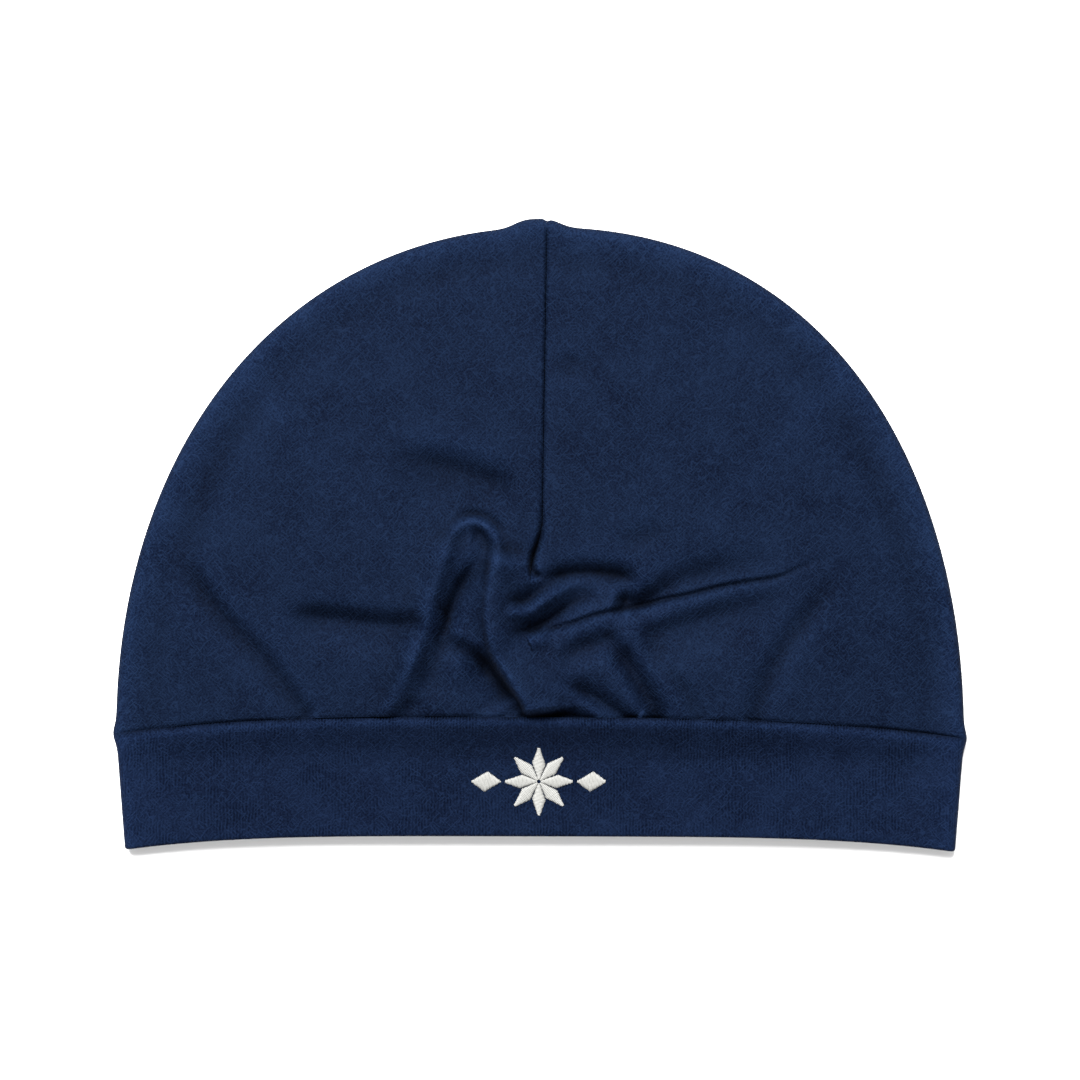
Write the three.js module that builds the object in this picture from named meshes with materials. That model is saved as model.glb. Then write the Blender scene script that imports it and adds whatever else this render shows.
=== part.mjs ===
// A soft knit skull cap lying face up on a table: a two-panel crown with a centre seam,
// sewn to a doubled band whose hem is the opening for the head, with a raised embroidered motif.
// Millimetres. +Z up from the table, +Y from the opening to the crown's top, +X to the right.
import * as THREE from "three";
import { mergeVertices } from "three/addons/utils/BufferGeometryUtils.js";

// Outline of the cap lying flat, seen from above
const CROWN_HALF_WIDTH = 114.2;
const CROWN_RISE = 137.3;
const CROWN_BASE_Y = -54.5;
const OUTLINE_POWER = 2.12;
const CROWN_LEAN = 2.4;
const PEAK_RISE = 2.3;
const PEAK_WIDTH = 8.5;
const HEM_HALF_WIDTH = 111.8;
const SEAM_FLARE = 0.8;
const SEAM_FLARE_REACH = 3;
const BAND_SEAM = { middleY: -49, drop: 5.3, power: 3.2, tilt: -0.7 };
const HEM = { middleY: -81.2, drop: 4, power: 4, tilt: -0.3 };

// Thickness of the cloth, and how high the cap stands where it isn't creased
const CROWN_WALL = 1.2;
const BAND_WALL = 1.8;
const SEAM_GAP = 0.3;
const FOLD_LEVEL = 2.6;
const HEM_PUFF = 3.6;
const CROWN_PUFF = 12;
const PUFF_START_Y = -85;
const PUFF_FULL_Y = 5;
const PUFF_POWER = 2.6;

// The swell of gathered cloth along the band's seam, highest a little right of the middle
const SHOULDER = { height: 3.8, middleX: 8, reachX: 88, bandReach: 22, power: 2.5, crownReach: 45 };

// A shallow hollow that follows the outline just inside the fold
const RIM_HOLLOW = { depth: 0.5, at: 10, reach: 4.5 };

// Seams sunk into the cloth beside them
const GROOVE_DEPTH = 0.7;
const GROOVE_REACH = 1.8;
const BAND_ROLL = { height: 0.85, at: 1.8, reach: 1.6 };

// The centre seam's way down the crown: its side shift at three heights, each a smooth step apart
const CENTRE_SEAM = { topX: 1.9, middleX: 0.62, lowX: -2.4, topY: 85, middleY: 4, lowY: -10 };

// Mesh density: cells in the creased middle, in the smooth outer part and around the folded edge
const CREASED_SHARE = 0.42;
const CREASED_CELLS = 16;
const SMOOTH_CELLS = 9;
const EDGE_SHARE = 0.03;
const EDGE_CELLS = 3;
const BAND_CELLS = 14;
const CURVE_STEPS = 6;

// Creases of the crown's upper side. height is in millimetres, below zero for a valley; left and
// right are its reach on each side of the path; power is 2 for a soft one and near 1 for a sharp one;
// fadeIn and fadeOut are the shares of its length over which it starts and ends.
const CREASES = [
  { name: "upper_left", height: -3.7, left: 4.6, right: 12, power: 2, fadeIn: 0.4, fadeOut: 0.25,
    path: [[-44, 20.5], [-32, 19], [-22, 16.6], [-14, 14], [-4, 10.5]] },
  { name: "hook_leg", height: 3.7, left: 4.2, right: 3, power: 2, fadeIn: 0.3, fadeOut: 0.22,
    path: [[-40, -44], [-31, -22], [-25.8, -6], [-23.8, 0]] },
  { name: "arch", height: 1.9, left: 2, right: 2.2, power: 2, fadeIn: 0.3, fadeOut: 0.2,
    path: [[-27, -10], [-23.6, 0], [-17.8, 3.4], [-12, -0.6], [-11.2, -9], [-12.9, -21]] },
  { name: "lip", height: 3.6, left: 8, right: 4.6, power: 1.2, fadeIn: 0.1, fadeOut: 0.06,
    path: [[-10.6, -3], [-13.3, -15], [-13.8, -25], [-10.5, -35], [-5.4, -42.6], [-3, -48.8]] },
  { name: "lip_shadow", height: -5.2, left: 2, right: 6, power: 1.5, fadeIn: 0.5, fadeOut: 0.06,
    path: [[-15.8, -22], [-14, -32], [-9.1, -40.5], [-4.4, -50]] },
  { name: "hollow", height: -4, left: 3.8, right: 2, power: 2, fadeIn: 0.22, fadeOut: 0.55,
    path: [[-15.9, -4], [-20.8, -13.2], [-25.1, -24.5], [-27.2, -33], [-28.2, -42]] },
  { name: "drain", height: -1.5, left: 4, right: 4, power: 2, fadeIn: 0.35, fadeOut: 0.3,
    path: [[-25.5, -24], [-28.5, -33], [-29, -46]] },
  { name: "branch", height: -3, left: 2.6, right: 2.8, power: 1.7, fadeIn: 0.25, fadeOut: 0.35,
    path: [[-26.5, -27.6], [-19, -32], [-13.5, -36.5], [-12, -39]] },
  { name: "seam_pull", height: -2.4, left: 2, right: 2, power: 1.8, fadeIn: 0.55, fadeOut: 0.15,
    path: [[0.8, 15], [0.1, 0], [-1.8, -6], [-2.1, -8.7], [1.5, -11.4]] },
  { name: "tuck", height: -4.2, left: 2.4, right: 4.2, power: 1.4, fadeIn: 0.3, fadeOut: 0.2,
    path: [[-2, -11.3], [5, -10.9], [12, -10], [20, -10.6], [28, -12.8]] },
  { name: "first_ridge", height: 1.7, left: 2.2, right: 2, power: 2, fadeIn: 0.15, fadeOut: 0.45,
    path: [[-10, -19.7], [-4, -21.2], [1, -18], [9, -13.2], [13.5, -12.4]] },
  { name: "pinch", height: -2.5, left: 2.6, right: 2, power: 2, fadeIn: 0.35, fadeOut: 0.5,
    path: [[-9.5, -16.5], [-3.5, -17.5], [2, -13.6], [6, -12]] },
  { name: "second_valley", height: -4.2, left: 2.7, right: 3.4, power: 1.35, fadeIn: 0.3, fadeOut: 0.5,
    path: [[-10, -25.9], [-3, -25.6], [4, -21.8], [12, -17.4], [22, -18]] },
  { name: "third_notch", height: -4.5, left: 3, right: 2.8, power: 1.7, fadeIn: 0.22, fadeOut: 0.45,
    path: [[19.5, -16.6], [26, -18.2], [33, -15.5], [38, -12.7]] },
  { name: "notch_tail", height: -2.5, left: 4, right: 6, power: 2, fadeIn: 0.25, fadeOut: 0.55,
    path: [[28, -17], [44, -10.8], [68, -6.5]] },
  { name: "third_ridge", height: 1.8, left: 2, right: 3.6, power: 2, fadeIn: 0.05, fadeOut: 0.45,
    path: [[-3, -28.4], [10, -25.8], [26, -21.2], [50, -15.8], [82, -6.5]] },
  { name: "third_valley", height: -3.4, left: 3.4, right: 8, power: 2, fadeIn: 0.2, fadeOut: 0.4,
    path: [[24, -28.4], [36, -25.6], [50, -21.3], [72, -15.2]] },
  { name: "vee_left", height: -2.7, left: 3, right: 3.6, power: 2, fadeIn: 0.5, fadeOut: 0.2,
    path: [[3, -35], [11.5, -30.4], [23, -28.4]] },
  { name: "vee_right", height: -5.2, left: 4, right: 3, power: 2, fadeIn: 0.25, fadeOut: 0.05,
    path: [[18.5, -28.5], [24.6, -36.4], [28.9, -43.8], [31.2, -51]] },
  { name: "fan_mid", height: -3.4, left: 2.2, right: 2, power: 1.5, fadeIn: 0.35, fadeOut: 0.05,
    path: [[3, -38.5], [11, -41.8], [20, -47], [26, -51]] },
  { name: "foot", height: -3, left: 2, right: 2, power: 2, fadeIn: 0.25, fadeOut: 0.45,
    path: [[-3.5, -50], [5, -48.6], [17, -50.6]] },
  { name: "right_fan", height: -1, left: 2.4, right: 2, power: 2, fadeIn: 0.5, fadeOut: 0.1,
    path: [[32, -34], [39, -42], [43.5, -51]] },
  { name: "right_long", height: -2.6, left: 3.8, right: 4, power: 2, fadeIn: 0.35, fadeOut: 0.05,
    path: [[81, -8], [75.5, -19], [66, -33.5], [57, -51]] },
  { name: "left_dash", height: -3.2, left: 3.6, right: 6, power: 2, fadeIn: 0.25, fadeOut: 0.35,
    path: [[-69, -21.4], [-46, -24], [-29, -22.8]] },
  { name: "left_long", height: -2.1, left: 3.6, right: 5, power: 2, fadeIn: 0.4, fadeOut: 0.05,
    path: [[-96, -8], [-86, -21.5], [-73, -34.5], [-61, -51]] },
  { name: "left_gather", height: -1.2, left: 2.5, right: 3, power: 2, fadeIn: 0.2, fadeOut: 0.4,
    path: [[-42, -51], [-36, -47], [-30, -43.5]] },
  { name: "right_dent", height: -1, left: 3.5, right: 3.5, power: 2, fadeIn: 0.4, fadeOut: 0.4,
    path: [[19, -4], [27, -0.8], [36, 3]] },
  { name: "top_left", height: -0.9, left: 3.5, right: 3.5, power: 2, fadeIn: 0.4, fadeOut: 0.4,
    path: [[-12, 76], [-23, 74], [-35, 69]] },
  { name: "left_rim", height: -1.1, left: 5, right: 5, power: 2, fadeIn: 0.3, fadeOut: 0.3,
    path: [[-101, -22], [-94, 2], [-86, 24], [-70, 44]] },
  { name: "right_rim", height: -1, left: 5, right: 5, power: 2, fadeIn: 0.3, fadeOut: 0.3,
    path: [[103, -18], [97, 2], [88, 24], [76, 42]] },
  { name: "upper_dent", height: -0.8, left: 4, right: 4, power: 2, fadeIn: 0.4, fadeOut: 0.4,
    path: [[9, 50], [7.5, 40]] },
];

// Embroidered motif: an eight-pointed star with a small diamond on each side of it
const MOTIF = { x: -0.3, y: -66.4, thickness: 0.9, gap: 0.35 };
const STAR = { points: 8, tip: 9.2, notch: 4.8 };
const DIAMOND = { halfWidth: 3.8, halfHeight: 2.8, offset: 14.2 };

const CROWN_CLOTH = { color: 0x1e2b46, roughness: 0.85, metalness: 0 };
const BAND_CLOTH = { color: 0x1b273f, roughness: 0.85, metalness: 0 };
const THREAD = { color: 0xf2f2ee, roughness: 0.6, metalness: 0 };

const mix = (a, b, t) => a + (b - a) * t;
const clamp01 = (t) => Math.min(1, Math.max(0, t));

function smoothStep(from, to, value) {
  const t = clamp01((value - from) / (to - from));
  return t * t * (3 - 2 * t);
}

// A curve that sags from its middle towards both ends: the band's seam and its hem
function archY(arch, acrossShare) {
  return arch.middleY - arch.drop * Math.abs(acrossShare) ** arch.power + arch.tilt * acrossShare;
}

function centreSeamX(y) {
  const { topX, middleX, lowX, topY, middleY, lowY } = CENTRE_SEAM;
  const upper = mix(middleX, topX, clamp01((y - middleY) / (topY - middleY)));
  return mix(upper, lowX, smoothStep(middleY, lowY, y));
}

function shoulderHeight(x, y) {
  const below = archY(BAND_SEAM, x / CROWN_HALF_WIDTH) - y;
  const onBand = clamp01(1 - below / SHOULDER.bandReach) ** SHOULDER.power;
  const onCrown = 1 - smoothStep(0, SHOULDER.crownReach, -below);
  const across = Math.exp(-(((x - SHOULDER.middleX) / SHOULDER.reachX) ** 2));
  return SHOULDER.height * across * (below > 0 ? onBand : onCrown);
}

// How far the loose cloth stands above the folded edge, falling to nothing at the outline
function puffHeight(x, y, radiusShare) {
  const even = mix(HEM_PUFF, CROWN_PUFF, smoothStep(PUFF_START_Y, PUFF_FULL_Y, y));
  return (even + shoulderHeight(x, y)) * (1 - clamp01(radiusShare) ** PUFF_POWER);
}

// Height gained over a quarter-round edge of this radius, at a distance in from the edge
function quarterRound(distance, radius) {
  const left = Math.max(0, radius - Math.max(0, distance));
  return Math.sqrt(radius * radius - left * left);
}

// The creases' smooth paths, each as a row of points
const creasePaths = CREASES.map((crease) => {
  const through = crease.path.map(([x, y]) => new THREE.Vector3(x, y, 0));
  const curve = new THREE.CatmullRomCurve3(through, false, "centripetal");
  return curve.getPoints((through.length - 1) * CURVE_STEPS);
});

// Signed distance from a path, positive on its left, and the share of the path passed there
function nearestOnPath(points, x, y) {
  let best = { distance: Infinity, share: 0 };
  for (let i = 0; i + 1 < points.length; i++) {
    const a = points[i];
    const dx = points[i + 1].x - a.x;
    const dy = points[i + 1].y - a.y;
    const t = clamp01(((x - a.x) * dx + (y - a.y) * dy) / (dx * dx + dy * dy));
    const offX = x - a.x - dx * t;
    const offY = y - a.y - dy * t;
    const distance = Math.hypot(offX, offY);
    if (distance < Math.abs(best.distance)) {
      const side = dx * offY - dy * offX >= 0 ? 1 : -1;
      best = { distance: side * distance, share: (i + t) / (points.length - 1) };
    }
  }
  return best;
}

function creaseHeight(x, y) {
  let height = 0;
  CREASES.forEach((crease, index) => {
    const { distance, share } = nearestOnPath(creasePaths[index], x, y);
    const reach = distance > 0 ? crease.left : crease.right;
    const across = Math.exp(-(Math.abs(distance / reach) ** crease.power));
    const along = smoothStep(0, crease.fadeIn, share) * smoothStep(0, crease.fadeOut, 1 - share);
    height += crease.height * across * along;
  });
  return height;
}

// A point of the crown panel on one side (-1 left, 1 right), seen from above. a runs from the
// centre seam to the side and b from the band to the top, both 0 to 1, and the larger of them
// is the point's share of the way to the outline. depth is how far inside the cloth it lies.
function crownPlan(side, a, b, depth) {
  const radiusShare = Math.max(a, b);
  const turn = a >= b ? (Math.PI / 4) * (b / (a || 1)) : Math.PI / 2 - (Math.PI / 4) * (a / b);
  const cosine = Math.cos(turn);
  const sine = Math.sin(turn);
  const stretch = (cosine ** OUTLINE_POWER + sine ** OUTLINE_POWER) ** (-1 / OUTLINE_POWER);
  const radius = stretch * Math.hypot(CROWN_HALF_WIDTH * cosine, CROWN_RISE * sine);
  const share = radiusShare * (1 - depth / radius);
  const across = share * stretch * cosine;
  const up = share * stretch * sine;

  const flare = SEAM_FLARE * Math.exp(-((up * CROWN_RISE / SEAM_FLARE_REACH) ** 2));
  let x = side * (CROWN_HALF_WIDTH * across + flare * across ** 8) + CROWN_LEAN * up * up;
  let y = CROWN_BASE_Y + CROWN_RISE * up;
  const seamLift = archY(BAND_SEAM, side * across) + SEAM_GAP / 2 - CROWN_BASE_Y;
  y += seamLift * (1 - up);
  y += PEAK_RISE * Math.exp(-((x / PEAK_WIDTH) ** 2)) * share ** 8;
  x += (centreSeamX(y) - CROWN_LEAN * up * up + side * SEAM_GAP / 2) * (1 - a) ** 2;
  const seamDistance = Math.min(Math.abs(x - centreSeamX(y)), y - archY(BAND_SEAM, side * across));
  return { x, y, radiusShare, seamDistance, edgeDistance: (1 - radiusShare) * (radius - depth) };
}

function crownTop(side, a, b, depth) {
  const p = crownPlan(side, a, b, depth);
  const edge = quarterRound(p.edgeDistance, FOLD_LEVEL - depth);
  const groove = GROOVE_DEPTH * Math.exp(-((p.seamDistance / GROOVE_REACH) ** 2));
  const inField = 1 - smoothStep(0.84, 0.97, p.radiusShare);
  const relief = (creaseHeight(p.x, p.y) - groove) * inField;
  const fromHollow = (p.edgeDistance - RIM_HOLLOW.at) / RIM_HOLLOW.reach;
  const hollow = RIM_HOLLOW.depth * Math.exp(-(fromHollow ** 2)) * clamp01(p.edgeDistance);
  const puff = puffHeight(p.x, p.y, p.radiusShare);
  return new THREE.Vector3(p.x, p.y, FOLD_LEVEL + edge + puff + relief - hollow);
}

function crownBottom(side, a, b, depth) {
  const p = crownPlan(side, a, b, depth);
  const edge = quarterRound(p.edgeDistance, FOLD_LEVEL - depth);
  return new THREE.Vector3(p.x, p.y, FOLD_LEVEL - edge);
}

// Shares of the way from the middle to the outline at which the crown's grid has its lines
function gridLines() {
  const lines = [];
  for (let i = 0; i < CREASED_CELLS; i++) lines.push((CREASED_SHARE * i) / CREASED_CELLS);
  const edgeStart = 1 - EDGE_SHARE;
  for (let i = 0; i < SMOOTH_CELLS; i++) lines.push(mix(CREASED_SHARE, edgeStart, i / SMOOTH_CELLS));
  for (let i = 0; i <= EDGE_CELLS; i++) {
    lines.push(edgeStart + EDGE_SHARE * Math.sin(((Math.PI / 2) * i) / EDGE_CELLS));
  }
  return lines;
}

// Triangles are gathered here, turned round when the piece is a mirror image
class Skin {
  constructor(turned) {
    this.turned = turned;
    this.corners = [];
  }

  triangle(a, b, c) {
    const order = this.turned ? [a, c, b] : [a, b, c];
    for (const p of order) this.corners.push(p.x, p.y, p.z);
  }

  quad(a, b, c, d) {
    this.triangle(a, b, c);
    this.triangle(a, c, d);
  }

  // The strip between two rows of points of equal length
  strip(rowA, rowB) {
    for (let i = 0; i + 1 < rowA.length; i++) this.quad(rowA[i], rowA[i + 1], rowB[i + 1], rowB[i]);
  }

  geometry() {
    const loose = new THREE.BufferGeometry();
    loose.setAttribute("position", new THREE.Float32BufferAttribute(this.corners, 3));
    const closed = mergeVertices(loose, 1e-4);
    closed.computeVertexNormals();
    return closed;
  }
}

// One crown panel: upper and lower sheets, outside and inside, joined round the folded edge
// and closed along the centre seam and the band's seam
function crownPanel(side) {
  const lines = gridLines();
  const last = lines.length - 1;
  const flat = last - EDGE_CELLS;
  const sheet = (surface, depth) => lines.map((a) => lines.map((b) => surface(side, a, b, depth)));
  const topOut = sheet(crownTop, 0);
  const topIn = sheet(crownTop, CROWN_WALL);
  const bottomOut = sheet(crownBottom, 0);
  const bottomIn = sheet(crownBottom, CROWN_WALL);

  const skin = new Skin(side < 0);
  for (let i = 0; i < last; i++) {
    for (let j = 0; j < last; j++) {
      const cell = (grid) => [grid[i][j], grid[i + 1][j], grid[i + 1][j + 1], grid[i][j + 1]];
      skin.quad(...cell(topOut));
      skin.quad(...cell(topIn).reverse());
      if (i >= flat || j >= flat) {
        skin.quad(...cell(bottomOut).reverse());
        skin.quad(...cell(bottomIn));
      }
    }
  }

  // The part that lies on the table is one flat field, outside and inside
  const border = [];
  for (let i = 0; i < flat; i++) border.push([i, 0]);
  for (let j = 0; j < flat; j++) border.push([flat, j]);
  for (let i = flat; i > 0; i--) border.push([i, flat]);
  for (let j = flat; j > 0; j--) border.push([0, j]);
  for (const [grid, down] of [[bottomOut, true], [bottomIn, false]]) {
    const loop = border.map(([i, j]) => grid[i][j]);
    const outline = loop.map((p) => new THREE.Vector2(p.x * side, p.y));
    for (const [a, b, c] of THREE.ShapeUtils.triangulateShape(outline, [])) {
      if (down) skin.triangle(loop[c], loop[b], loop[a]);
      else skin.triangle(loop[a], loop[b], loop[c]);
    }
  }

  // Cut edges along the centre seam and along the band's seam, over the fold from top to bottom
  const alongCentre = (top, bottom) => [...top[0], ...bottom[0].slice(0, -1).reverse()];
  skin.strip(alongCentre(topOut, bottomOut), alongCentre(topIn, bottomIn));
  const alongBand = (top, bottom) => [
    ...top.map((column) => column[0]),
    ...bottom.slice(0, -1).map((column) => column[0]).reverse(),
  ];
  skin.strip(alongBand(topIn, bottomIn), alongBand(topOut, bottomOut));
  return skin.geometry();
}

// The band's upper surface over a place seen from above; down is 0 at its seam and 1 at the hem
function bandTopZ(x, y, acrossShare, down) {
  const fromSeam = down * (BAND_SEAM.middleY - HEM.middleY);
  const roll = BAND_ROLL.height * Math.exp(-(((fromSeam - BAND_ROLL.at) / BAND_ROLL.reach) ** 2));
  const groove = GROOVE_DEPTH * Math.exp(-((fromSeam / GROOVE_REACH) ** 2));
  const inField = 1 - smoothStep(0.84, 0.97, Math.abs(acrossShare));
  return FOLD_LEVEL + puffHeight(x, y, Math.abs(acrossShare)) + (roll - groove) * inField;
}

// A loop round the band: the upper side from left to right, then the lower side back
function bandLoop(down, depth) {
  const halfWidth = mix(CROWN_HALF_WIDTH, HEM_HALF_WIDTH, down)
    + SEAM_FLARE * Math.exp(-((down * (BAND_SEAM.middleY - HEM.middleY) / SEAM_FLARE_REACH) ** 2));
  const reach = halfWidth - depth;
  const radius = FOLD_LEVEL - depth;
  const shares = [];
  for (let i = 0; i <= BAND_CELLS; i++) shares.push((i / BAND_CELLS) * (1 - EDGE_SHARE));
  for (let i = 1; i <= EDGE_CELLS; i++) {
    shares.push(1 - EDGE_SHARE + EDGE_SHARE * Math.sin(((Math.PI / 2) * i) / EDGE_CELLS));
  }
  const across = [...shares.slice(1).reverse().map((s) => -s), ...shares];
  const point = (share, upper) => {
    const x = reach * share;
    const outlineShare = x / halfWidth;
    const y = mix(archY(BAND_SEAM, outlineShare) - SEAM_GAP / 2, archY(HEM, outlineShare), down);
    const edge = quarterRound((1 - Math.abs(share)) * reach, radius);
    const z = upper ? bandTopZ(x, y, outlineShare, down) + edge : FOLD_LEVEL - edge;
    return new THREE.Vector3(x, y, z);
  };
  const upper = across.map((share) => point(share, true));
  const lower = across.slice(1, -1).reverse().map((share) => point(share, false));
  return [...upper, ...lower];
}

// The band: its loops run down the outside, round the folded hem and back up the inside
function bandGeometry() {
  const height = BAND_SEAM.middleY - HEM.middleY;
  const lip = BAND_WALL / 2;
  const rows = [
    { down: 0, depth: 0 },
    { down: 1.9 / height, depth: 0 },
    { down: 4.2 / height, depth: 0 },
    { down: 9.5 / height, depth: 0 },
    { down: 0.5, depth: 0 },
    { down: 1 - lip / height, depth: 0 },
    { down: 1 - (0.3 * lip) / height, depth: 0.3 * lip },
    { down: 1, depth: lip },
    { down: 1 - (0.3 * lip) / height, depth: BAND_WALL - 0.3 * lip },
    { down: 1 - lip / height, depth: BAND_WALL },
    { down: 0.5, depth: BAND_WALL },
    { down: 0, depth: BAND_WALL },
  ];
  const loops = rows.map((row) => bandLoop(row.down, row.depth));
  const skin = new Skin(true);
  loops.forEach((loop, index) => {
    const next = loops[(index + 1) % loops.length];
    skin.strip([...loop, loop[0]], [...next, next[0]]);
  });
  return skin.geometry();
}

// A flat shape of stitching, raised on the band and bent to follow it
function stitched(shape, centreX) {
  const solid = new THREE.ExtrudeGeometry(shape, {
    depth: MOTIF.thickness * 0.6,
    bevelThickness: MOTIF.thickness * 0.4,
    bevelSize: 0.5,
    bevelOffset: -0.5,
    bevelSegments: 1,
    curveSegments: 1,
  });
  const position = solid.getAttribute("position");
  for (let i = 0; i < position.count; i++) {
    const x = position.getX(i) + centreX;
    const y = position.getY(i) + MOTIF.y;
    const down = (BAND_SEAM.middleY - y) / (BAND_SEAM.middleY - HEM.middleY);
    const under = bandTopZ(x, y, x / CROWN_HALF_WIDTH, down) + FOLD_LEVEL + MOTIF.gap;
    position.setXYZ(i, x, y, position.getZ(i) + MOTIF.thickness * 0.4 + under);
  }
  solid.deleteAttribute("normal");
  solid.deleteAttribute("uv");
  const closed = mergeVertices(solid, 1e-4);
  closed.computeVertexNormals();
  return closed;
}

function starShape() {
  const corners = [];
  for (let i = 0; i < STAR.points * 2; i++) {
    const angle = (Math.PI * i) / STAR.points + Math.PI / 2;
    const radius = i % 2 === 0 ? STAR.tip : STAR.notch;
    corners.push(new THREE.Vector2(radius * Math.cos(angle), radius * Math.sin(angle)));
  }
  return new THREE.Shape(corners);
}

function diamondShape() {
  const { halfWidth, halfHeight } = DIAMOND;
  return new THREE.Shape([
    new THREE.Vector2(halfWidth, 0),
    new THREE.Vector2(0, halfHeight),
    new THREE.Vector2(-halfWidth, 0),
    new THREE.Vector2(0, -halfHeight),
  ]);
}

const cap = new THREE.Group();

function addPiece(name, geometry, finish) {
  const mesh = new THREE.Mesh(geometry, new THREE.MeshStandardMaterial(finish));
  mesh.name = name;
  cap.add(mesh);
}

addPiece("crown_left_panel", crownPanel(-1), CROWN_CLOTH);
addPiece("crown_right_panel", crownPanel(1), CROWN_CLOTH);
addPiece("band", bandGeometry(), BAND_CLOTH);
addPiece("motif_star", stitched(starShape(), MOTIF.x), THREAD);
addPiece("motif_diamond_left", stitched(diamondShape(), MOTIF.x - DIAMOND.offset), THREAD);
addPiece("motif_diamond_right", stitched(diamondShape(), MOTIF.x + DIAMOND.offset), THREAD);

export default cap;
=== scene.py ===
"""A soft knit skull cap lying face up on a pale table, seen from straight above.

Shapes are worked out in millimetres, +Z up, +Y from the opening to the crown's top, and turned
into metres as each mesh is made.
"""
import math

import bmesh
import bpy
import numpy as np
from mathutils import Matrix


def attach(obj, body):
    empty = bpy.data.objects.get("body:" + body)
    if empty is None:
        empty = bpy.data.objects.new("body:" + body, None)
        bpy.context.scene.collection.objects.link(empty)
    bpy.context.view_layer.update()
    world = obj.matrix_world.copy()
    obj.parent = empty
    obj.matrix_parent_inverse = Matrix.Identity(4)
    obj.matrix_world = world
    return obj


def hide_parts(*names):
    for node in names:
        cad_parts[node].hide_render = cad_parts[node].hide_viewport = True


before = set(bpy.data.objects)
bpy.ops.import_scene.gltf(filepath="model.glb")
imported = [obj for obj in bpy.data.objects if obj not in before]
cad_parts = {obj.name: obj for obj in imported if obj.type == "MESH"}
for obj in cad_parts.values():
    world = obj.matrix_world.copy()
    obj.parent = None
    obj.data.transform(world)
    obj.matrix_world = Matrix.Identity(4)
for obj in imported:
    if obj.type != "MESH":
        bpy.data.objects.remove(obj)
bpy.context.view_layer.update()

MM = 0.001

# Outline of the cap lying flat
CROWN_HALF_WIDTH = 114.2
CROWN_RISE = 137.3
CROWN_BASE_Y = -54.5
OUTLINE_POWER = 2.12
CROWN_LEAN = 2.4
PEAK = {"rise": 2.3, "at_x": -0.3, "half_width": 7.0, "power": 3.0, "inward_power": 8}
PEAK_NOTCH = {"depth": 0.5, "half_width": 0.7, "inward_power": 30}
HEM_HALF_WIDTH = 111.8
SEAM_FLARE = {"out": 0.8, "reach": 3.0, "inward_power": 8}
BAND_SEAM = {"middle_y": -49.0, "drop": 5.3, "power": 3.2, "tilt": -0.7}
HEM = {"middle_y": -81.2, "drop": 4.0, "power": 4.0, "tilt": -0.3}
BAND_DEPTH = BAND_SEAM["middle_y"] - HEM["middle_y"]

# Thickness of the cloth, and how high the cap stands where it isn't creased
CROWN_WALL = 1.2
BAND_WALL = 1.8
FOLD_LEVEL = 2.6
HEM_PUFF = 1.5
CROWN_PUFF = 11.5
PUFF_START_Y = -85.0
PUFF_FULL_Y = 5.0
PUFF_POWER = 2.6

# The cloth stands highest along the band's seam and falls away over the band, most of all at this place
SHOULDER = {
    "height": 3.8,
    "middle_x": 8.0,
    "reach_x": 88.0,
    "band_reach": 22.0,
    "power": 2.5,
    "crown_reach": 45.0,
}

# A shallow hollow all along the crown, a little way in from its folded sides
RIM_HOLLOW = {"depth": 0.5, "at": 10.0, "reach": 4.5}

# Gap at the centre seam, closed where creases hide it, at the folded edge and on the underside, where
# the seam also lies a step to one side
SEAM_GAP = 0.12
CLOSED_GAP = 0.02
SEAM_CLOSES_POWER = 12
UNDER_SEAM_STEP = 0.4

# Seams sunk into the cloth beside them: a soft dip and a sharp one within it
SEAM_DIP = {"depth": 0.45, "reach": 2.2}
SEAM_CUT = {"depth": 0.75, "reach": 0.5}
SEAM_HIDDEN = {"from_y": -9.0, "to_y": -13.0}

# How strongly the crown sinks at the band's seam: the middle, reach and strength of each deeper stretch
SEAM_LEAST = 0.35
SEAM_SUNK = [(-82, 15, 0.55), (-24, 12, 0.35), (4, 9, 0.8), (28, 8, 0.5), (56, 10, 0.3), (96, 16, 0.6)]

# The band rolls up below its seam and dips further down; its painted highlight and shade also follow the
# turn over to the hem
BAND_ROLL = {"height": 0.72, "at": 1.8, "reach": 1.5, "reach_below": 4.5}
BAND_DENT = {"depth": 0.8, "at": 9.5, "reach": 4.5}
HEM_TURN = {"drop": 0.9, "reach": 3.0}

# The centre seam's side shift at three heights
CENTRE_SEAM = {"top_x": 1.9, "middle_x": 0.62, "low_x": -2.4, "top_y": 85.0, "middle_y": 4.0, "low_y": -10.0}

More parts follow.
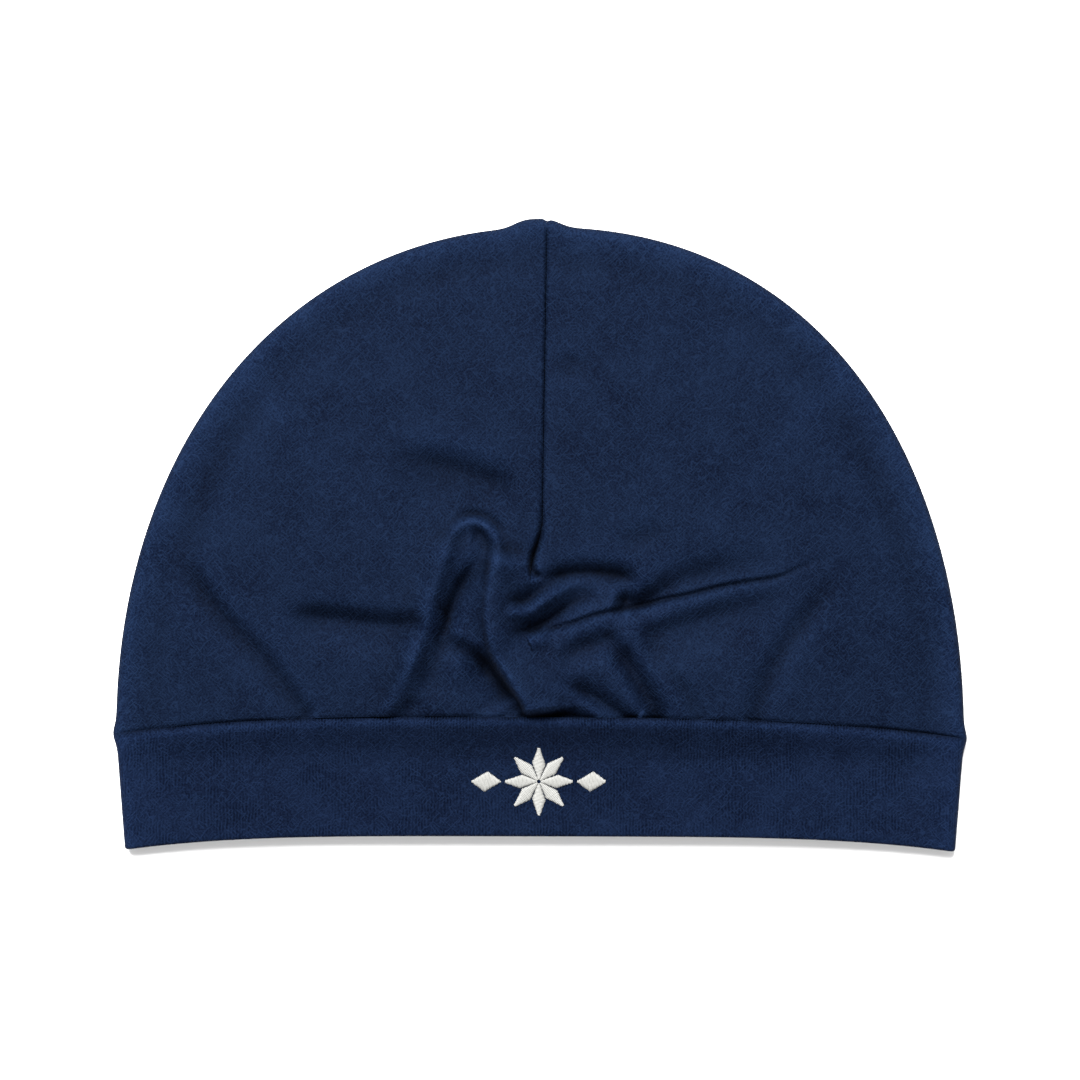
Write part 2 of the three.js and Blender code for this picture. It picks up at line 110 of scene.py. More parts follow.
# Creases of the upper cloth: height in millimetres (a valley is below zero), reach on the left and
# the right of the path, power of the fall (2 soft, near 1 sharp), the shares of the path over which
# it starts and ends, and the path
CREASES = [
    ("upper_left", -3.0, 4.6, 12.0, 2.0, 0.40, 0.25,
     [(-44, 20.5), (-32, 19), (-22, 16.6), (-14, 14), (-4, 10.5)]),
    ("hook_leg", 3.0, 4.2, 3.0, 2.0, 0.30, 0.22,
     [(-40, -44), (-35, -34), (-31, -22), (-28, -13), (-25.8, -6), (-23.8, 0)]),
    ("leg_low", 1.5, 2.4, 3.4, 2.0, 0.15, 0.45, [(-43, -51), (-38, -42), (-33, -33), (-30, -24)]),
    ("arch", 1.4, 1.3, 1.8, 2.0, 0.30, 0.30,
     [(-27, -10), (-25.4, -4), (-23.6, 0), (-21, 2.6), (-17.8, 3.4), (-14.4, 2.2), (-12.0, -0.6),
      (-11.0, -4.2), (-11.2, -9), (-11.6, -12)]),
    ("halo", -0.9, 1.4, 0.8, 2.0, 0.35, 0.35,
     [(-23.5, 2.6), (-20.8, 4.7), (-17.4, 5.4), (-13.6, 4.0), (-11.0, 1.4), (-9.7, -2)]),
    ("arch_inner", -1.3, 1.4, 2.6, 2.0, 0.30, 0.35,
     [(-19.2, 1.2), (-17.2, 0.9), (-15.4, -0.7), (-14.6, -3), (-14.6, -6.5), (-15.2, -11),
      (-15.6, -15)]),
    ("lip", 2.5, 9.0, 3.4, 2.4, 0.06, 0.06,
     [(-10.6, -3), (-12.2, -10), (-13.3, -15), (-14.0, -20), (-13.8, -25), (-12.6, -30),
      (-10.5, -35), (-8, -39), (-5.4, -42.6), (-3.6, -45.4), (-3.0, -48.8)]),
    ("lip_roll", 2.1, 4.6, 1.5, 2.6, 0.15, 0.28,
     [(-11.4, -3), (-12.4, -9), (-13.2, -14), (-13.8, -19), (-13.7, -24), (-12.6, -29),
      (-10.6, -34)]),
    ("lip_low", 1.0, 9.0, 5.0, 1.4, 0.40, 0.06,
     [(-14.0, -22), (-13.7, -26), (-12.6, -30), (-10.5, -35), (-8, -39), (-5.4, -42.6),
      (-3.6, -45.4), (-3.0, -48.8)]),
    ("lip_edge", -0.3, 0.9, 3.0, 1.6, 0.35, 0.30,
     [(-13.6, -7), (-14.7, -12), (-15.3, -17), (-15.6, -22), (-15.4, -27)]),
    ("lip_shadow", -3.6, 0.9, 5.4, 1.5, 0.50, 0.14,
     [(-15.8, -22), (-15.4, -27), (-14.0, -32), (-11.7, -36.4), (-9.1, -40.5), (-6.7, -44),
      (-5.1, -46.8), (-4.4, -50)]),
    ("wedge", -2.7, 1.6, 8.0, 2.0, 0.45, 0.25,
     [(-19, -30), (-15.5, -34), (-12.4, -38), (-9.6, -42), (-7.2, -45.6)]),
    ("hollow", -3.2, 3.1, 1.9, 2.0, 0.27, 0.55,
     [(-15.9, -4), (-18.3, -9), (-20.8, -13.2), (-22.6, -17), (-24.1, -21), (-25.1, -24.5),
      (-26.1, -28), (-27.2, -33), (-28.2, -42)]),
    ("drain", -1.2, 4.0, 4.0, 2.0, 0.35, 0.30, [(-25.5, -24), (-28.5, -33), (-29, -46)]),
    ("branch_ridge", 0.5, 1.6, 1.6, 2.0, 0.25, 0.30,
     [(-25, -25.3), (-21, -27.1), (-17.5, -29), (-15, -30.8)]),
    ("branch", -1.8, 2.6, 2.8, 1.7, 0.25, 0.35,
     [(-26.5, -27.6), (-22, -30.2), (-19, -32.0), (-16, -34.0), (-13.5, -36.5), (-12, -39)]),
    ("seam_pull", -2.2, 0.9, 0.9, 1.8, 0.55, 0.15,
     [(0.8, 15), (0.6, 5.4), (0.1, 0), (-0.9, -3.2), (-1.8, -6), (-2.1, -8.7), (-1.3, -10.6),
      (1.5, -11.4)]),
    ("tuck", -3.4, 2.4, 4.2, 1.4, 0.30, 0.20,
     [(-2.0, -11.3), (2.2, -11.6), (5, -10.9), (8, -10.3), (12, -10.0), (16, -10.1), (20, -10.6),
      (24, -11.6), (28, -12.8)]),
    ("first_ridge", 1.3, 2.0, 1.8, 2.0, 0.15, 0.45,
     [(-10, -19.7), (-6, -21.2), (-2.5, -20.8), (1, -18), (5, -15.2), (9, -13.2), (13.5, -12.4)]),
    ("pinch", -2.0, 2.6, 1.4, 2.0, 0.35, 0.50,
     [(-9.5, -16.5), (-6.5, -17.8), (-3.5, -17.5), (-1, -15.6), (2, -13.6), (6, -12)]),
    ("second_valley", -3.7, 2.7, 3.4, 1.35, 0.30, 0.50,
     [(-10, -25.9), (-6.5, -26.3), (-3, -25.6), (0, -24.3), (4, -21.8), (8, -19.0), (12, -17.4),
      (17, -17.2), (22, -18)]),
    ("apron", -1.1, 2.6, 2.2, 2.0, 0.35, 0.35, [(6, -18.0), (9, -16.4), (12, -15.8), (16, -16.6)]),
    ("third_notch", -3.9, 3.0, 3.6, 1.7, 0.22, 0.45,
     [(19.5, -16.6), (22.8, -17.8), (26, -18.2), (29, -17.4), (33, -15.5), (38, -12.7)]),
    ("notch_tail", -2.3, 4.0, 6.0, 2.0, 0.25, 0.55,
     [(28, -17), (36, -13.6), (44, -10.8), (54, -8.4), (68, -6.5)]),
    ("thin_crease", -1.2, 0.8, 0.8, 2.0, 0.03, 0.42,
     [(1.0, -25.7), (8.5, -23.9), (14, -21.9), (19, -20.7), (26, -19.4), (33, -17.6), (40, -16.2),
      (47, -14.4), (53.9, -13.1), (64.6, -11.3), (69.1, -9.2), (75.4, -6.6), (82.6, -4.2)]),
    ("bulb", 1.9, 1.6, 2.2, 2.0, 0.10, 0.50, [(-3.2, -29.0), (-1.5, -28.2), (1, -27.4), (4, -26.8)]),
    ("third_ridge", 0.1, 2.0, 3.6, 2.0, 0.05, 0.45,
     [(-3, -28.4), (2, -27.8), (6, -27.1), (10, -25.8), (14, -24.2), (20, -22.6), (26, -21.2),
      (32, -19.8), (38, -18.4), (50, -15.8), (64, -13.3), (82, -6.5)]),
    ("third_valley", -2.9, 4.0, 8.0, 2.0, 0.20, 0.40,
     [(24, -28.4), (30, -27.2), (36, -25.4), (42, -23.8), (50, -21.3), (61, -18.7), (72, -15.2)]),
    ("vee_left", -2.2, 3.0, 3.6, 2.0, 0.50, 0.20,
     [(3, -35), (7, -32.8), (11.5, -30.4), (17, -28.8), (23, -28.4)]),
    ("vee_right", -3.6, 3.1, 2.8, 2.0, 0.25, 0.05,
     [(18.5, -28.5), (21.5, -32), (24.6, -36.4), (26.9, -40.2), (28.9, -43.8), (30.4, -47),
      (31.2, -51)]),
    ("fan_mid", -2.9, 2.8, 2.2, 1.6, 0.35, 0.05,
     [(2, -38.1), (8, -40.4), (11, -41.8), (14, -43.3), (17, -45.1), (20, -47), (23, -49.2),
      (26, -51)]),
    ("fan_ridge", 0.2, 1.5, 1.8, 2.0, 0.25, 0.15,
     [(-4, -39), (2, -40.2), (7, -42.3), (12, -45.2), (15, -48), (17, -50)]),
    ("fan_low", -0.3, 1.2, 1.2, 2.0, 0.30, 0.10, [(4, -43.8), (8, -45.6), (12, -48), (15, -50)]),
    ("foot", -2.6, 1.5, 1.5, 2.0, 0.25, 0.45,
     [(-2.0, -50), (2, -49.6), (6, -48.4), (11, -49.0), (17, -50.6)]),
    ("right_fan", -0.8, 2.4, 2.0, 2.0, 0.50, 0.10, [(32, -34), (39, -42), (43.5, -51)]),
    ("right_long", -1.3, 2.8, 3.6, 2.0, 0.40, 0.05,
     [(81, -6), (77.2, -14.1), (72, -21.8), (66.4, -29.3), (61, -39.2), (58.4, -47.2),
      (57.4, -51)]),
    ("left_dash", -3.3, 3.4, 6.0, 2.0, 0.20, 0.14,
     [(-71, -21.8), (-56, -22.8), (-46, -24.0), (-38, -24.6), (-29, -23.2)]),
    ("left_long", -1.65, 2.8, 4.6, 2.0, 0.22, 0.05,
     [(-97, -5), (-87.5, -19.5), (-74, -34), (-61.5, -51)]),
    ("left_gather", -1.0, 2.5, 3.0, 2.0, 0.20, 0.40, [(-42, -51), (-36, -47), (-30, -43.5)]),
    ("right_dent", -0.8, 3.5, 3.5, 2.0, 0.40, 0.40, [(19, -4), (27, -0.8), (36, 3)]),
    ("top_left", -1.1, 3.5, 3.5, 2.0, 0.40, 0.40, [(-12, 76), (-23, 74), (-35, 69)]),
    ("left_rim", -0.9, 5.0, 5.0, 2.0, 0.30, 0.30, [(-101, -22), (-94, 2), (-86, 24), (-70, 44)]),
    ("right_rim", -0.8, 5.0, 5.0, 2.0, 0.30, 0.30, [(103, -18), (97, 2), (88, 24), (76, 42)]),
    ("upper_dent", -0.6, 4.0, 4.0, 2.0, 0.40, 0.40, [(9, 50), (7.5, 40)]),
]

# All creases are this much stronger than their rows say; their paths curve in this many steps a point
CREASE_STRENGTH = 1.25
CURVE_STEPS = 7

# Shares of the way to the folded edge over which creases and the centre seam's dip run out
CREASES_END = (0.84, 0.97)
SEAM_ENDS = (0.97, 1.0)

# The band's knit shows as small teeth along its upper edge
TEETH = {"pitch": 0.78, "height": 0.3, "lean": 0.05, "reach": 1.3}
TEETH_DRIFT = [(0.35, 9.1, 0.0), (0.2, 3.7, 1.0)]
TEETH_SIZE = {"middle": 0.65, "change": 0.35, "reach": 2.3, "drift": 2.0, "drift_reach": 7.7}

# Rows across the band's section: a softened edge at the seam, close rows beside it, even rows down to the
# hem, steps round the hem, and a slit between the two layers
SEAM_EDGE_DEPTHS = (0.25, 0.08)
CLOSE_ROWS = {"count": 6, "step": 0.12}
EVEN_ROWS = {"count": 16, "start": 5.5}
HEM_STEPS = 8
UNDER_ROWS = 7
BAND_SLIT = 0.16

# Raised satin-stitch motif: an eight-pointed star of separate petals between two diamonds
MOTIF = {"x": -0.3, "y": -66.4}
PETALS = 8
PETAL = {"start": 0.7, "widest_at": 4.8, "tip": 9.2, "half_width": 1.85, "blunt": 0.3}
DIAMOND = {"half_width": 3.8, "half_height": 2.8, "offset": 14.2, "blunt": 0.25, "start_in": 0.1}
MOTIF_SEEDS = {"star": 8, "diamonds": 20}

# Threads of the motif: they lie lower and thinner at their ends, and lower where they're short
THREAD = {"pitch": 0.36, "radius": 0.2, "rise": 0.55, "sink": 0.15, "slant": 0.16, "unevenness": 0.07}
THREAD_ENDS = {"slim": 0.55, "round_power": 4}
THREAD_RISE = {"least": 0.45, "per_mm": 0.35}
THREAD_PITCH_CHANGE = 0.08
THREAD_SIDES = 6
THREAD_STEPS = 8

# Names of the attributes that hold each point's place on the cloth laid out flat, in millimetres,
# and how far the cloth there stands out from the cloth round it, which paints a highlight on ridges
# and rims and painted shade in hollows
CLOTH_PLACE = "cloth_place"
PAINTED_SHADING = "painted_shading"

# How far round a point the painted shading looks, on the crown's grid and down the band, the painted
# highlight that the folded rims add, and how the tone follows it
PAINTED_SHADING_PASSES = 60
PAINTED_SHADING_STEP = 1.6
PAINTED_RIM_HIGHLIGHT = {"height": 1.3, "reach": 4.0, "power": 1.0}
PAINTED_SHADING_TONE = {"least": -1.6, "most": 1.4, "dark": 0.3, "gain": 1.31}

# Every layer of every piece takes its grain from a place this far above the next one's, in millimetres
LAYER_STEP = 30.0
BAND_LAYER = 3

# Grain of the knit: bundles of slanting strokes, looser curls, fuzz, clouds and specks, each with its
# share of the tone, and the band's upright ribs; noise sizes are in cells a millimetre
SLANT = 0.7071
STROKES = {"pitch": 0.78, "wander": 1.6, "squeeze": 1.3, "stretch": 0.45, "from": 0.54, "to": 0.66}
STROKE_SHARES = {"relief": 0.5, "tone": 0.55}
CURLS = {"turns": 7.0, "from": 0.46, "to": 0.58, "share": 0.5}
SPECKS = {"from": 0.76, "to": 0.80, "tone": 0.5}
CLOUD_TONE = 0.45
RIBS = {"pitch": 0.86, "wander": 1.0, "from": 0.42, "to": 0.60, "relief": 0.4, "tone": 0.12}
NOISE = {
    "stroke_wander": 0.3,
    "stroke_length": 0.62,
    "curl": 0.2,
    "curl_patch": 0.42,
    "fuzz": 1.9,
    "cloud": 0.09,
    "speck": 1.5,
    "rib_wander": 0.25,
    "rib_patch": 0.12,
}
KNIT_TONE = (0.46, 1.02)
KNIT_BUMP = 0.17

# Colours between which the grain of each material runs, dark and light
CROWN_COLOURS = ((0.0003, 0.0010, 0.0042), (0.0025, 0.0059, 0.0162))
BAND_COLOURS = ((0.0003, 0.0011, 0.0046), (0.0025, 0.0059, 0.0171))
THREAD_COLOURS = ((0.17, 0.17, 0.16), (0.22, 0.22, 0.21))
FLOOR_COLOURS = ((0.73, 0.73, 0.73), (0.75, 0.75, 0.75))

# Grain of the other two materials, in cells a metre, and the thread's bump in millimetres
THREAD_GRAIN = 2600.0
THREAD_BUMP = 0.03
FLOOR_GRAIN = 40.0

# Grid of the band: columns over its upper side and under it
BAND_TOP_COLUMNS = 1560
BAND_BOTTOM_COLUMNS = 240

# Camera, straight above the middle of the photo's frame
PHOTO_PIXELS = 1080
MM_PER_PIXEL = 230.0 / 854
PHOTO_CENTRE_Y = -1.48
CAMERA_HEIGHT = 2400.0
SENSOR_WIDTH = 36.0

# Light: a soft lamp beyond the crown's top, a weak one from the band's side, and an even white surround
LAMPS = {
    "studio_lamp": {"towards": (-0.16, 0.61, 0.77), "strength": 15.0, "softness_deg": 40},
    "fill_lamp": {"towards": (0.0, -0.75, 0.66), "strength": 1.35, "softness_deg": 60},
}
SURROUND = 0.68

# Floor: how far it reaches each way, in metres, and its gap under the cap, in millimetres
FLOOR_REACH = 6.0
FLOOR_GAP = 0.05

# Cloth folds smoothly up to this angle, past which an edge is a cut one
CUT_EDGE_ANGLE = math.radians(62)

# Grid of the visible cloth: the hidden cloth takes every third of its lines
FIELD_CELLS = 258
FIELD_EVENNESS = 0.62
RIM_CELLS = 9
RIM_SHARE = 0.03
COARSE = 3

# Points closer than this are one, in metres
MERGE_DISTANCE = 1e-6

# Keeps a division away from zero
TINY = 1e-9


def mix(a, b, t):
    return a + (b - a) * t


def smooth_step(start, end, value):
    t = np.clip((value - start) / (end - start), 0.0, 1.0)
    return t * t * (3 - 2 * t)


def bell(distance, reach, power=2.0):
    return np.exp(-(np.abs(distance / reach) ** power))


def arch_y(arch, across_share):
    """A curve that sags from its middle towards both ends: the band's seam and its hem."""
    sag = arch["drop"] * np.abs(across_share) ** arch["power"]
    return arch["middle_y"] - sag + arch["tilt"] * across_share


def seam_flare(from_seam):
    """How far the cap swells sideways at the ends of the band's seam."""
    return SEAM_FLARE["out"] * bell(from_seam, SEAM_FLARE["reach"])


def centre_seam_x(y):
    c = CENTRE_SEAM
    upper = mix(c["middle_x"], c["top_x"], np.clip((y - c["middle_y"]) / (c["top_y"] - c["middle_y"]), 0, 1))
    return mix(upper, c["low_x"], smooth_step(c["middle_y"], c["low_y"], y))


def shoulder(x, y):
    """How much higher the cloth stands along the band's seam and beside it."""
    below = arch_y(BAND_SEAM, x / CROWN_HALF_WIDTH) - y
    on_band = np.clip(1 - below / SHOULDER["band_reach"], 0, 1) ** SHOULDER["power"]
    on_crown = 1 - smooth_step(0, SHOULDER["crown_reach"], -below)
    height = SHOULDER["height"] * bell(x - SHOULDER["middle_x"], SHOULDER["reach_x"])
    return height * np.where(below > 0, on_band, on_crown)


def puff_height(x, y, radius_share):
    """How far loose cloth stands above the folded edge."""
    full = mix(HEM_PUFF, CROWN_PUFF, smooth_step(PUFF_START_Y, PUFF_FULL_Y, y)) + shoulder(x, y)
    return full * (1 - np.clip(radius_share, 0, 1) ** PUFF_POWER)


def quarter_round(distance, radius):
    """Height gained over a quarter-round edge of this radius, at a distance in from it."""
    left = np.maximum(0.0, radius - np.maximum(0.0, distance))
    return np.sqrt(radius * radius - left * left)


def smooth_path(points):
    """A centripetal Catmull-Rom curve through the points, as rows of x and y."""
    p = np.array(points, dtype=float)
    p = np.vstack([2 * p[0] - p[1], p, 2 * p[-1] - p[-2]])
    rows = []
    for i in range(1, len(p) - 2):
        p0, p1, p2, p3 = p[i - 1 : i + 3]
        t0 = 0.0
        t1 = t0 + np.linalg.norm(p1 - p0) ** 0.5
        t2 = t1 + np.linalg.norm(p2 - p1) ** 0.5
        t3 = t2 + np.linalg.norm(p3 - p2) ** 0.5
        for t in np.linspace(t1, t2, CURVE_STEPS, endpoint=False):
            a1 = mix(p0, p1, (t - t0) / (t1 - t0))
            a2 = mix(p1, p2, (t - t1) / (t2 - t1))
            a3 = mix(p2, p3, (t - t2) / (t3 - t2))
            b1 = mix(a1, a2, (t - t0) / (t2 - t0))
            b2 = mix(a2, a3, (t - t1) / (t3 - t1))
            rows.append(mix(b1, b2, (t - t1) / (t2 - t1)))
    rows.append(p[-2])
    return np.array(rows)


def nearest_on_path(path, x, y):
    """Signed distance from a path, positive on its left, and the share of it passed there."""
    best = np.full(x.shape, np.inf)
    signed = np.zeros(x.shape)
    share = np.zeros(x.shape)
    for i in range(len(path) - 1):
        ax, ay = path[i]
        dx, dy = path[i + 1] - path[i]
        t = np.clip(((x - ax) * dx + (y - ay) * dy) / (dx * dx + dy * dy), 0, 1)
        off_x = x - ax - dx * t
        off_y = y - ay - dy * t
        distance = np.hypot(off_x, off_y)
        nearer = distance < best
        best = np.where(nearer, distance, best)
        side = np.where(dx * off_y - dy * off_x >= 0, 1.0, -1.0)
        signed = np.where(nearer, side * distance, signed)
        share = np.where(nearer, (i + t) / (len(path) - 1), share)
    return signed, share


def crease_height(x, y):
    """What all the creases together add to the upper cloth's height."""
    height = np.zeros(x.shape)
    for _, size, left, right, power, fade_in, fade_out, points in CREASES:
        signed, share = nearest_on_path(smooth_path(points), x, y)
        reach = np.where(signed > 0, left, right)
        along = smooth_step(0, fade_in, share) * smooth_step(0, fade_out, 1 - share)
        height += size * bell(signed, reach, power) * along
    return CREASE_STRENGTH * height


def crown_plan(side, a, b, depth, seam_gap=SEAM_GAP):
    """A point of one crown panel seen from above, at a depth inside the cloth's outer face.

    a runs out from the centre seam and b up from the band, both as shares of the way to the outline.
    """
    radius_share = np.maximum(a, b)
    safe = np.maximum(radius_share, TINY)
    eighth = math.pi / 4
    turn = np.where(a >= b, eighth * b / safe, 2 * eighth - eighth * a / safe)
    cosine = np.clip(np.cos(turn), 0, 1)
    sine = np.clip(np.sin(turn), 0, 1)
    stretch = (cosine**OUTLINE_POWER + sine**OUTLINE_POWER) ** (-1 / OUTLINE_POWER)
    radius = stretch * np.hypot(CROWN_HALF_WIDTH * cosine, CROWN_RISE * sine)
    share = radius_share * (1 - depth / radius)
    across = share * stretch * cosine
    up = share * stretch * sine

    flare = seam_flare(up * CROWN_RISE) * across ** SEAM_FLARE["inward_power"]
    x = side * (CROWN_HALF_WIDTH * across + flare) + CROWN_LEAN * up * up
    y = CROWN_BASE_Y + CROWN_RISE * up
    seam_lift = arch_y(BAND_SEAM, side * across) + CLOSED_GAP / 2 - CROWN_BASE_Y
    y = y + seam_lift * (1 - up)
    peak = PEAK["rise"] * bell(x - PEAK["at_x"], PEAK["half_width"], PEAK["power"])
    notch = PEAK_NOTCH["depth"] * bell(x - CROWN_LEAN, PEAK_NOTCH["half_width"])
    y = y + peak * share ** PEAK["inward_power"] - notch * share ** PEAK_NOTCH["inward_power"]
    gap = mix(seam_gap, CLOSED_GAP, np.maximum(seam_hidden(y), radius_share**SEAM_CLOSES_POWER))
    x = x + (centre_seam_x(y) - CROWN_LEAN * up * up + side * gap / 2) * (1 - a) ** 2
    edge_distance = (1 - radius_share) * (radius - depth)
    return x, y, radius_share, edge_distance


def seam_hidden(y):
    """1 where the creases hide the centre seam, 0 where it shows."""
    return smooth_step(SEAM_HIDDEN["from_y"], SEAM_HIDDEN["to_y"], y)


def seam_strength(x):
    """Share of the full dip that the band's seam has at a place across the cap."""
    strength = SEAM_LEAST + 0 * x
    for middle, reach, more in SEAM_SUNK:
        strength = strength + more * bell(x - middle, reach)
    return strength


def seam_relief(x, y):
    """The dip beside the centre seam and beside the band's seam."""
    from_centre = x - centre_seam_x(y)
    from_band = y - arch_y(BAND_SEAM, x / CROWN_HALF_WIDTH)
    relief = np.zeros(x.shape)
    for distance, share in ((from_centre, 1 - seam_hidden(y)), (from_band, seam_strength(x))):
        for shape in (SEAM_DIP, SEAM_CUT):
            relief = np.minimum(relief, 0) - share * shape["depth"] * bell(distance, shape["reach"])
    return relief


def crown_top(side, a, b, depth):
    x, y, radius_share, edge_distance = crown_plan(side, a, b, depth)
    edge = quarter_round(edge_distance, FOLD_LEVEL - depth)
    relief = crease_height(x, y) * (1 - smooth_step(*CREASES_END, radius_share))
    relief = relief + seam_relief(x, y) * (1 - smooth_step(*SEAM_ENDS, radius_share))
    hollow = RIM_HOLLOW["depth"] * bell(edge_distance - RIM_HOLLOW["at"], RIM_HOLLOW["reach"])
    relief = relief - hollow * np.clip(edge_distance, 0, 1)
    return np.stack([x, y, FOLD_LEVEL + edge + puff_height(x, y, radius_share) + relief], axis=-1)


def crown_bottom(side, a, b, depth):
    x, y, radius_share, edge_distance = crown_plan(side, a, b, depth, CLOSED_GAP)
    x = x + UNDER_SEAM_STEP * (1 - a) ** 2 * (1 - radius_share**SEAM_CLOSES_POWER)
    edge = quarter_round(edge_distance, FOLD_LEVEL - depth)
    return np.stack([x, y, FOLD_LEVEL - edge], axis=-1)


def grid_lines():
    """Shares of the way to the outline: close together in the creased middle, and round the rim."""
    t = np.linspace(0, 1, FIELD_CELLS + 1)
    field = (1 - RIM_SHARE) * (FIELD_EVENNESS * t + (1 - FIELD_EVENNESS) * t**3)
    angle = np.linspace(0, math.pi / 2, RIM_CELLS + 1)[1:]
    return np.concatenate([field, 1 - RIM_SHARE + RIM_SHARE * np.sin(angle)])


# Painted highlight along the folded rims, brightest at the edge and fading inwards
def painted_rim_highlight(edge_distance):
    return PAINTED_RIM_HIGHLIGHT["height"] * bell(edge_distance, PAINTED_RIM_HIGHLIGHT["reach"], PAINTED_RIM_HIGHLIGHT["power"])


def stand_out(height):
    """How far each point of a grid stands above the points round it."""
    level = height
    for _ in range(PAINTED_SHADING_PASSES):
        wide = np.pad(level, 1, mode="edge")
        level = (wide[:-2, 1:-1] + wide[2:, 1:-1] + wide[1:-1, :-2] + wide[1:-1, 2:]) / 4
    return height - level


class Cloth:
    """Vertices and faces of one piece, gathered sheet by sheet and then closed into one mesh."""

    def __init__(self):
        self.points = []
        self.places = []
        self.painted_shading_values = []
        self.faces = []

    def sheet(self, grid, places, painted_shading_values, lines_a, lines_b):
        """Adds the points of a grid on the given lines; returns the vertex at each pair of lines."""
        start = len(self.points)
        picked = np.ix_(lines_a, lines_b)
        self.points.extend(grid[picked].reshape(-1, 3).tolist())
        self.places.extend(places[picked].reshape(-1, 3).tolist())
        self.painted_shading_values.extend(painted_shading_values[picked].ravel().tolist())
        rows = len(lines_b)
        return {
            i: {j: start + m * rows + n for n, j in enumerate(lines_b)} for m, i in enumerate(lines_a)
        }

    def zip_rows(self, near, far):
        """Faces between two rows of vertices, each a dict from grid line to vertex."""
        shared = sorted(set(near) & set(far))
        for low, high in zip(shared, shared[1:]):
            face = [near[k] for k in range(low, high + 1) if k in near]
            face += [far[k] for k in range(high, low - 1, -1) if k in far]
            self.faces.append(face)

    def fill(self, sheet, skip=None):
        """Faces of a whole sheet, or of the part of it past the square of lines up to skip."""
        columns = sorted(sheet)
        for i, following in zip(columns, columns[1:]):
            near = sheet[i]
            far = sheet[following]
            if skip is not None and following <= skip:
                near = {j: v for j, v in near.items() if j >= skip}
                far = {j: v for j, v in far.items() if j >= skip}
            self.zip_rows(near, far)

    def mesh_object(self, name):
        mesh = bpy.data.meshes.new(name)
        mesh.from_pydata((np.array(self.points) * MM).tolist(), [], self.faces)
        place = mesh.attributes.new(CLOTH_PLACE, "FLOAT_VECTOR", "POINT")
        place.data.foreach_set("vector", np.array(self.places).ravel())
        # Each point's painted highlight or painted shade, which the material reads
        painted_shading_attribute = mesh.attributes.new(PAINTED_SHADING, "FLOAT", "POINT")
        painted_shading_attribute.data.foreach_set("value", np.array(self.painted_shading_values))
        work = bmesh.new()
        work.from_mesh(mesh)
        bmesh.ops.remove_doubles(work, verts=work.verts, dist=MERGE_DISTANCE)
        spare = [v for v in work.verts if not v.link_faces]
        bmesh.ops.delete(work, geom=spare, context="VERTS")
        bmesh.ops.recalc_face_normals(work, faces=work.faces)
        for face in work.faces:
            face.smooth = True
        for edge in work.edges:
            edge.smooth = edge.calc_face_angle(0) < CUT_EDGE_ANGLE
        work.to_mesh(mesh)
        work.free()
        obj = bpy.data.objects.new(name, mesh)
        bpy.context.scene.collection.objects.link(obj)
        return obj


def first_in_column(sheet):
    return {i: column[0] for i, column in sheet.items()}


def crown_panel(name, side):
    lines = grid_lines()
    last = len(lines) - 1
    field = FIELD_CELLS
    every = list(range(last + 1))
    coarse = list(range(0, last + 1, COARSE))
    inside_field = [k for k in coarse if k < field]
    a, b = np.meshgrid(lines, lines, indexing="ij")
    x, y, _, edge_distance = crown_plan(side, a, b, 0.0)
    upper_place = flat_place(x, y, edge_distance, 2 * side)
    lower_place = flat_place(x, y, edge_distance, side)
    upper = crown_top(side, a, b, 0.0)
    lower = crown_bottom(side, a, b, 0.0)
    # Painted shading: a painted highlight on ridges and the folded rims, painted shade in hollows
    lower_painted_shading = painted_rim_highlight(edge_distance)
    upper_painted_shading = stand_out(upper[..., 2]) + lower_painted_shading
    cloth = Cloth()
    top_out = cloth.sheet(upper, upper_place, upper_painted_shading, every, every)
    top_in = cloth.sheet(crown_top(side, a, b, CROWN_WALL), upper_place, 0 * a, coarse, coarse)
    bottom_in = cloth.sheet(crown_bottom(side, a, b, CROWN_WALL), lower_place, 0 * a, coarse, coarse)
    bottom_field = cloth.sheet(lower, lower_place, lower_painted_shading, inside_field, inside_field)
    bottom_rim = cloth.sheet(lower, lower_place, lower_painted_shading, every, every)

    cloth.fill(top_out)
    cloth.fill(top_in)
    cloth.fill(bottom_in)
    cloth.fill(bottom_field)
    cloth.fill(bottom_rim, skip=field)

    # The strip where the coarse lower cloth meets the fine rim
    inner = field - COARSE
    cloth.zip_rows(bottom_field[inner], {j: v for j, v in bottom_rim[field].items() if j <= inner})
    top_field = {i: column[inner] for i, column in bottom_field.items()}
    cloth.zip_rows(top_field, {i: column[field] for i, column in bottom_rim.items() if i <= inner})
    corner = [bottom_field[inner][inner]]
    corner += [bottom_rim[field][j] for j in range(inner, field + 1)]
    corner += [bottom_rim[i][field] for i in range(field - 1, inner - 1, -1)]
    cloth.faces.append(corner)

    # Cut edges along the centre seam and along the band's seam
    cloth.zip_rows(top_out[0], top_in[0])
    cloth.zip_rows({j: v for j, v in bottom_rim[0].items() if j >= field}, bottom_in[0])
    cloth.zip_rows({**bottom_field[0], field: bottom_rim[0][field]}, bottom_in[0])
    cloth.zip_rows(first_in_column(top_out), first_in_column(top_in))
    bottom_edge = first_in_column(bottom_in)
    rim_edge = {i: v for i, v in first_in_column(bottom_rim).items() if i >= field}
    cloth.zip_rows(rim_edge, bottom_edge)
    cloth.zip_rows({**first_in_column(bottom_field), field: bottom_rim[field][0]}, bottom_edge)
    return cloth.mesh_object(name)


